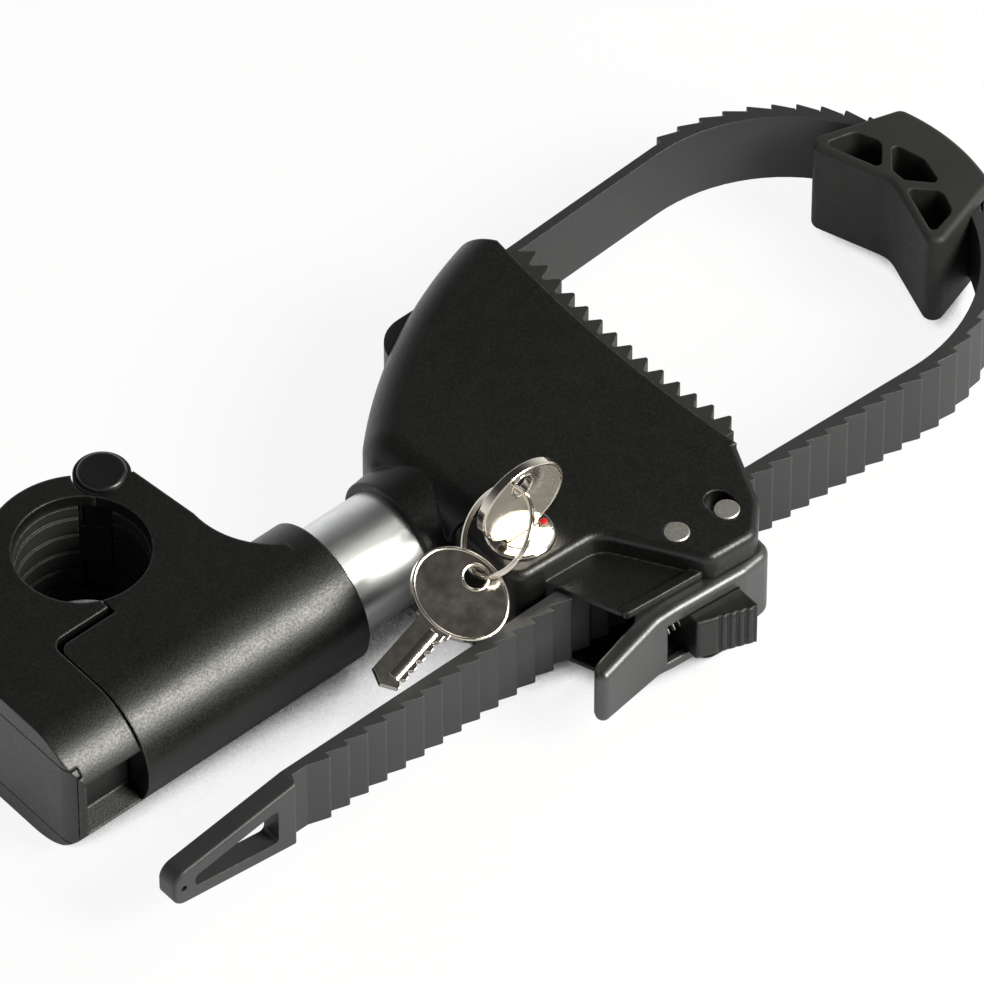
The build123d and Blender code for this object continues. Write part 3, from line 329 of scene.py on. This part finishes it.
def finished(name, points, faces, body, material, slot=None):
    """A mesh piece from points in millimetres, smooth but for its sharp edges, that rides on a body."""
    mesh = bpy.data.meshes.new(name)
    mesh.from_pydata([p * MM for p in points], [], faces)
    work = bmesh.new()
    work.from_mesh(mesh)
    bmesh.ops.recalc_face_normals(work, faces=work.faces)
    work.to_mesh(mesh)
    work.free()
    mesh.polygons.foreach_set("use_smooth", [True] * len(mesh.polygons))
    mesh.set_sharp_from_angle(angle=SHARP)
    piece = bpy.data.objects.new(name, mesh)
    bpy.context.collection.objects.link(piece)
    dress(piece, material)
    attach(piece, body)
    return piece


def round_section(half_wide, half_high, sides):
    """Points of an oval section: offsets aside and upwards."""
    turns = [2 * math.pi * k / sides for k in range(sides)]
    return [(half_wide * math.cos(t), half_high * math.sin(t)) for t in turns]


def swept(stations, section, closed):
    """Points and faces of a section carried along stations of centre, sideways and upward directions."""
    points = [
        centre + aside * a + up * b
        for centre, aside, up in stations
        for a, b in section
    ]
    sides, count = len(section), len(stations)
    faces = []
    for k in range(count if closed else count - 1):
        here, after = k * sides, (k + 1) % count * sides
        for j in range(sides):
            beside = (j + 1) % sides
            faces.append((here + j, here + beside, after + beside, after + j))
    if not closed:
        faces.append(tuple(range(sides)))
        faces.append(tuple((count - 1) * sides + j for j in range(sides)))
    return points, faces


def joined(*shapes):
    """Several sets of points and faces as one."""
    points, faces = [], []
    for more_points, more_faces in shapes:
        start = len(points)
        points += more_points
        faces += [tuple(start + i for i in face) for face in more_faces]
    return points, faces


# Keys: a raised rim round each bow and each hole, on both faces
LOCK = Vector((83.0, -65.5, 0.0))
KEY_HOLE = LOCK + Vector((0, 0, 37.2))
SPARE_HOLE = Vector((63.6, -71.1, 22.0))
SPARE_TIP = Vector((29.0, -77.0, 14.8))
SPARE_FACING = Vector((-0.43, -0.495, 0.755))
BOW_CENTRE = 5.6
BOW_LONG = 10.8
BOW_WIDE = 12.8
KEY_FACE = 1.1
HOLE_RADIUS = 2.8
RIM_INSET = 0.45
RIM_WIDE = 0.40
RIM_HIGH = 0.20
HOLE_RIM = 0.45
HOLE_RIM_SHARE = 0.8
RIM_STEPS = 72

spare_heading = (SPARE_TIP - SPARE_HOLE).normalized()
spare_facing = (SPARE_FACING - spare_heading * SPARE_FACING.dot(spare_heading)).normalized()


def oval_rim(middle, heading, facing, long, wide, half_wide, half_high):
    """Closed bead round an oval in the plane across a facing."""
    across = facing.cross(heading)
    stations = []
    for k in range(RIM_STEPS):
        turn = 2 * math.pi * k / RIM_STEPS
        centre = middle + heading * (long * math.cos(turn)) + across * (wide * math.sin(turn))
        run = heading * (-long * math.sin(turn)) + across * (wide * math.cos(turn))
        stations.append((centre, run.normalized().cross(facing), facing))
    return swept(stations, round_section(half_wide, half_high, BEAD_SIDES), True)


def key_rims(name, hole, heading, facing):
    """The rims of one key, as one piece."""
    shapes = []
    for side in (1, -1):
        level = facing * (side * KEY_FACE)
        bow = hole + heading * BOW_CENTRE + level
        shapes.append(
            oval_rim(bow, heading, facing, BOW_LONG - RIM_INSET, BOW_WIDE - RIM_INSET, RIM_WIDE, RIM_HIGH)
        )
        reach = HOLE_RADIUS + HOLE_RIM
        bead_wide, bead_high = HOLE_RIM * HOLE_RIM_SHARE, RIM_HIGH * HOLE_RIM_SHARE
        shapes.append(oval_rim(hole + level, heading, facing, reach, reach, bead_wide, bead_high))
    finished(name, *joined(*shapes), "lock", materials["nickel"], "nickel")


key_rims("key_in_lock_rims", KEY_HOLE, heading=Vector((0, 0, -1)), facing=Vector((0, 1, 0)))
key_rims("spare_key_rims", SPARE_HOLE, spare_heading, spare_facing)

# Raised rib beside the milled groove of the spare key's blade, on both faces
RIB_START = 17.4
RIB_END = 33.0
RIB_ASIDE = 1.2
RIB_WIDE = 1.5
RIB_HIGH = 0.16
RIB_STEPS = 8
rib_shapes = []
across = spare_facing.cross(spare_heading)
for side in (1, -1):
    stations = []
    for k in range(RIB_STEPS + 1):
        along = RIB_START + (RIB_END - RIB_START) * k / RIB_STEPS
        place = SPARE_HOLE + spare_heading * along + across * RIB_ASIDE + spare_facing * (side * KEY_FACE)
        stations.append((place, across, spare_facing))
    rib_shapes.append(swept(stations, round_section(RIB_WIDE, RIB_HIGH, FINE_SIDES), False))
finished("spare_key_ribs", *joined(*rib_shapes), "lock", materials["nickel"], "nickel")

# Split ring: two flat turns of wire with a step from one to the other
RING_WIRE = 0.65
RING_EASE = 0.9
RING_SIDE = Vector((-0.02, -0.92, 0.38))
RING_TURNS = 2
RING_STEPS = 120
RING_STEP_SHARE = 0.10
RING_START = 0.2        # share of a turn at which the wire begins
RING_FLAT = 0.96        # keeps the two turns just apart
rest_offset = HOLE_RADIUS - RING_WIRE - RING_EASE
ring_high = KEY_HOLE + (SPARE_HOLE - KEY_HOLE).normalized() * rest_offset
ring_low = SPARE_HOLE - spare_heading * rest_offset
ring_middle = (ring_high + ring_low) / 2
ring_radius = (ring_low - ring_high).length / 2
ring_x = (ring_low - ring_high).normalized()
ring_normal = ring_x.cross(RING_SIDE).normalized()
ring_y = ring_normal.cross(ring_x)
half_wire = RING_WIRE / 2
stations = []
for k in range(RING_TURNS * RING_STEPS + 1):
    wound = k / RING_STEPS
    turn = 2 * math.pi * (wound + RING_START)
    step = min(max((wound - 1.0) / RING_STEP_SHARE + 0.5, 0.0), 1.0)
    level = half_wire * (2 * step * step * (3 - 2 * step) - 1)
    outward = ring_x * math.cos(turn) + ring_y * math.sin(turn)
    stations.append((ring_middle + outward * ring_radius + ring_normal * level, outward, ring_normal))
ring = finished(
    "split_ring",
    *swept(stations, round_section(RING_WIRE, half_wire * RING_FLAT, BEAD_SIDES), False),
    "lock",
    materials["nickel"],
    "nickel",
)
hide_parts("key_ring")


def turned(axis_point, profile, steps):
    """Points and faces of a profile of radius and height turned about an upright axis, with closed ends."""
    points, faces = [], []
    for radius, height in profile:
        for k in range(steps):
            turn = 2 * math.pi * k / steps
            points.append(axis_point + Vector((radius * math.cos(turn), radius * math.sin(turn), height)))
    for ring_number in range(len(profile) - 1):
        here, after = ring_number * steps, (ring_number + 1) * steps
        for k in range(steps):
            beside = (k + 1) % steps
            faces.append((here + k, here + beside, after + beside, after + k))
    faces.append(tuple(range(steps)))
    faces.append(tuple((len(profile) - 1) * steps + k for k in range(steps)))
    return points, faces


# Lock: red index dot on the barrel's face
BARREL_FACE = 19.9
DOT_REACH = 6.6
DOT_TURN = math.radians(-12.0)
DOT_RADIUS = 1.0
DOT_HEIGHT = 0.28
DOT_SINK = 0.1
DOT_RINGS = 6
DOT_RING_TURN = math.pi / 12
DOT_STEPS = 20
dot_place = LOCK + Vector((DOT_REACH * math.cos(DOT_TURN), DOT_REACH * math.sin(DOT_TURN), BARREL_FACE))
dot_profile = [(DOT_RADIUS, -DOT_SINK)] + [
    (DOT_RADIUS * math.cos(k * DOT_RING_TURN), DOT_HEIGHT * math.sin(k * DOT_RING_TURN))
    for k in range(DOT_RINGS)
]
finished("lock_index_dot", *turned(dot_place, dot_profile, DOT_STEPS), "arm", red_enamel)

# Screws under the head and the socket: rounded heads with hexagon sockets, and threads
SCREW_STEPS = 24
SCREW_FOOT = -18.7
THREAD_PITCH = 1.0
THREAD_DEPTH = 0.22
THREAD_REACH = 0.4      # share of the pitch from a groove's bottom to its edge
SCREW_POINT = 0.7
HEAD_ROUND = 0.5
HEAD_BEND = math.pi / 6
HEAD_BENDS = 3


def hexagon(flats, steps):
    """Points of a hexagon at equal turns about its middle."""
    made = []
    for k in range(steps):
        turn = 2 * math.pi * k / steps
        from_flat = (turn % (math.pi / 3)) - math.pi / 6
        made.append(Vector((math.cos(turn), math.sin(turn), 0)) * (flats / 2 / math.cos(from_flat)))
    return made


def screw_shape(place, head_radius, head_height, shank_radius, length, flats, socket_depth):
    """Points and faces of one upright screw with its head at the bottom."""
    profile = [(head_radius - HEAD_ROUND, 0.0)]
    for k in range(1, HEAD_BENDS + 1):
        bend = k * HEAD_BEND
        profile.append((
            head_radius - HEAD_ROUND + HEAD_ROUND * math.sin(bend),
            HEAD_ROUND - HEAD_ROUND * math.cos(bend),
        ))
    profile += [(head_radius, head_height), (shank_radius, head_height)]
    thread_count = int((length - head_height) / THREAD_PITCH) - 1
    for k in range(1, thread_count + 1):
        level = head_height + k * THREAD_PITCH
        profile.append((shank_radius, level - THREAD_PITCH * THREAD_REACH))
        profile.append((shank_radius - THREAD_DEPTH, level))
        profile.append((shank_radius, level + THREAD_PITCH * THREAD_REACH))
    profile.append((shank_radius * SCREW_POINT, length))
    points, faces = turned(place, profile, SCREW_STEPS)
    faces.remove(tuple(range(SCREW_STEPS)))
    mouth = hexagon(flats, SCREW_STEPS)
    start = len(points)
    points += [place + p for p in mouth]
    points += [place + p + Vector((0, 0, socket_depth)) for p in mouth]
    for k in range(SCREW_STEPS):
        beside = (k + 1) % SCREW_STEPS
        faces.append((k, beside, start + beside, start + k))
        low = start + SCREW_STEPS
        faces.append((start + k, start + beside, low + beside, low + k))
    faces.append(tuple(start + SCREW_STEPS + k for k in range(SCREW_STEPS)))
    return points, faces


HEAD_SCREW_PLACES = ((97.0, -8.0), (130.0, 4.0), (130.0, -71.0), (99.0, -67.0))
head_screw_shapes = [
    screw_shape(
        Vector((x, y, SCREW_FOOT)),
        head_radius=2.98, head_height=3.7, shank_radius=1.45, length=28.4, flats=2.5, socket_depth=1.8,
    )
    for x, y in HEAD_SCREW_PLACES
]
screws = finished("head_socket_screws", *joined(*head_screw_shapes), "arm", materials["steel"], "steel")
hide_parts("head_screws")
SOCKET_SCREW_PLACE = (24.0, -35.0)
socket_shape = screw_shape(
    Vector((*SOCKET_SCREW_PLACE, SCREW_FOOT)),
    head_radius=3.74, head_height=2.2, shank_radius=1.94, length=7.6, flats=3.0, socket_depth=1.4,
)
retainer = finished("tube_socket_screw", *socket_shape, "arm", materials["steel"], "steel")
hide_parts("socket_screw")


# Catch spring: a coil in the place of the CAD spring, carried by the lever
COIL_TURNS = 8
COIL_STEPS = 24
COIL_WIRE = 0.3
coil_low, coil_high = (Vector(corner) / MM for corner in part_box("catch_spring"))
coil_middle = (coil_low + coil_high) / 2
coil_radius = (coil_high.y - coil_low.y) / 2 - COIL_WIRE
coil_length = coil_high.x - coil_low.x
stations = []
for k in range(COIL_TURNS * COIL_STEPS + 1):
    turn = 2 * math.pi * k / COIL_STEPS
    outward = Vector((0, math.cos(turn), math.sin(turn)))
    along = coil_low.x + COIL_WIRE + (coil_length - 2 * COIL_WIRE) * k / (COIL_TURNS * COIL_STEPS)
    place = Vector((along, coil_middle.y, coil_middle.z)) + outward * coil_radius
    stations.append((place, outward, Vector((1, 0, 0))))
coil = finished(
    "catch_coil_spring",
    *swept(stations, round_section(COIL_WIRE, COIL_WIRE, FINE_SIDES), False),
    "lever",
    materials["steel"],
    "steel",
)
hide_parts("catch_spring")
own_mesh(coil)

# Camera

AIM = mm(100.0, -35.0, 0.0)
VIEW_TURN = math.radians(229.01)    # direction from the object to the camera
VIEW_RISE = math.radians(48.4)
PHOTO_SIDE = 984
PIXELS_PER_MM = 4.0916
AIM_PIXEL = (490.1, 480.1)
CAMERA_DISTANCE = 3.0
SENSOR = 36.0                       # in millimetres

towards = Vector((
    math.cos(VIEW_RISE) * math.cos(VIEW_TURN),
    math.cos(VIEW_RISE) * math.sin(VIEW_TURN),
    math.sin(VIEW_RISE),
))
to_right = Vector((0, 0, 1)).cross(towards).normalized()
to_top = towards.cross(to_right).normalized()
centre = (
    AIM
    + to_right * ((PHOTO_SIDE / 2 - AIM_PIXEL[0]) / PIXELS_PER_MM * MM)
    - to_top * ((PHOTO_SIDE / 2 - AIM_PIXEL[1]) / PIXELS_PER_MM * MM)
)
camera_data = bpy.data.cameras.new("camera")
camera_data.sensor_width = SENSOR
camera_data.lens = SENSOR * PIXELS_PER_MM / MM * CAMERA_DISTANCE / PHOTO_SIDE
camera = bpy.data.objects.new("camera", camera_data)
camera.location = centre + towards * CAMERA_DISTANCE
camera.rotation_euler = towards.to_track_quat("Z", "Y").to_euler()
bpy.context.collection.objects.link(camera)
bpy.context.scene.camera = camera

# Light

LAMP_DISTANCE = 1.3
WARM = (1.0, 0.985, 0.91)


def softbox(name, direction, side, power):
    """Warm square area lamp in a direction from the object, facing it."""
    data = bpy.data.lights.new(name, "AREA")
    data.color = WARM
    data.shape = "SQUARE"
    data.size = side
    data.energy = power
    lamp = bpy.data.objects.new(name, data)
    way = Vector(direction).normalized()
    lamp.location = AIM + way * LAMP_DISTANCE
    lamp.rotation_euler = way.to_track_quat("Z", "Y").to_euler()
    bpy.context.collection.objects.link(lamp)


softbox("key_softbox", direction=(0.33, -0.73, 0.60), side=0.6, power=27.0)
softbox("overhead_softbox", direction=(0.62, -0.08, 0.78), side=0.35, power=1.6)

SKY_LOW = 0.8           # strength at the horizon and overhead
SKY_HIGH = 0.04
SKY_FADE = 0.80         # height, as a sine, from which it is as overhead
world = bpy.data.worlds.new("studio")
bpy.context.scene.world = world
world.use_nodes = True
sky_tree = world.node_tree
background = sky_tree.nodes["Background"]
background.inputs["Color"].default_value = (1.0, 1.0, 1.0, 1.0)
sky_way = add(sky_tree, "ShaderNodeTexCoord")
sky_parts = add(sky_tree, "ShaderNodeSeparateXYZ")
sky_tree.links.new(sky_way.outputs["Generated"], sky_parts.inputs["Vector"])
sky_light = between(sky_tree, sky_parts.outputs["Z"], SKY_LOW, SKY_HIGH, 0.0, SKY_FADE)
sky_tree.links.new(sky_light, background.inputs["Strength"])

# Floor

FLOOR_HALF = 4.0
FLOOR_WHITE = 0.86
FLOOR_ROUGH = 0.9
FLOOR_GLOW = 0.90       # share of plain white in what the camera and reflections see of the floor
FLOOR_SHADE = 0.14      # how far round the object reflections see its shadow on the floor
FLOOR_SAMPLES = 16
SHADE_START, SHADE_END = 0.1, 0.9       # open share of the sky where reflections see black and white floor
BORE_START, BORE_END = 0.10, 0.26       # the same for the camera, so that only the bore's floor is dark
FLOOR_GAP = 0.0002
floor_z = cad_box[0][2] - FLOOR_GAP
floor_mesh = bpy.data.meshes.new("floor")
floor_mesh.from_pydata(
    [(x * FLOOR_HALF, y * FLOOR_HALF, floor_z) for x, y in ((-1, -1), (1, -1), (1, 1), (-1, 1))],
    [],
    [(0, 1, 2, 3)],
)
floor = bpy.data.objects.new("floor", floor_mesh)
bpy.context.collection.objects.link(floor)
floor_material, floor_tree, floor_shader = start_material("white_floor")
floor_shader.inputs["Base Color"].default_value = (FLOOR_WHITE, FLOOR_WHITE, FLOOR_WHITE, 1.0)
floor_shader.inputs["Roughness"].default_value = FLOOR_ROUGH
floor_shader.inputs["Specular IOR Level"].default_value = 0.0
rays = add(floor_tree, "ShaderNodeLightPath")
seen = rays.outputs["Is Camera Ray"]
for other in ("Is Glossy Ray", "Is Transmission Ray"):
    seen = worked(floor_tree, "MAXIMUM", seen, rays.outputs[other])
share = add(floor_tree, "ShaderNodeMath", {1: FLOOR_GLOW}, operation="MULTIPLY")
floor_tree.links.new(seen, share.inputs[0])
glow = add(floor_tree, "ShaderNodeEmission")
shade = add(floor_tree, "ShaderNodeAmbientOcclusion", {"Distance": FLOOR_SHADE}, samples=FLOOR_SAMPLES)
shaded = between(floor_tree, shade.outputs["AO"], 0.0, 1.0, SHADE_START, SHADE_END)
open_floor = between(floor_tree, shade.outputs["AO"], 0.0, 1.0, BORE_START, BORE_END)
for_camera = worked(floor_tree, "MULTIPLY", open_floor, rays.outputs["Is Camera Ray"])
lit = worked(floor_tree, "MAXIMUM", shaded, for_camera)
floor_tree.links.new(lit, glow.inputs["Strength"])
blend = add(floor_tree, "ShaderNodeMixShader")
floor_tree.links.new(share.outputs["Value"], blend.inputs["Fac"])
floor_tree.links.new(floor_shader.outputs["BSDF"], blend.inputs[1])
floor_tree.links.new(glow.outputs["Emission"], blend.inputs[2])
floor_tree.links.new(blend.outputs["Shader"], floor_tree.nodes["Material Output"].inputs["Surface"])
floor.data.materials.append(floor_material)

bpy.context.scene.view_settings.view_transform = "Standard"
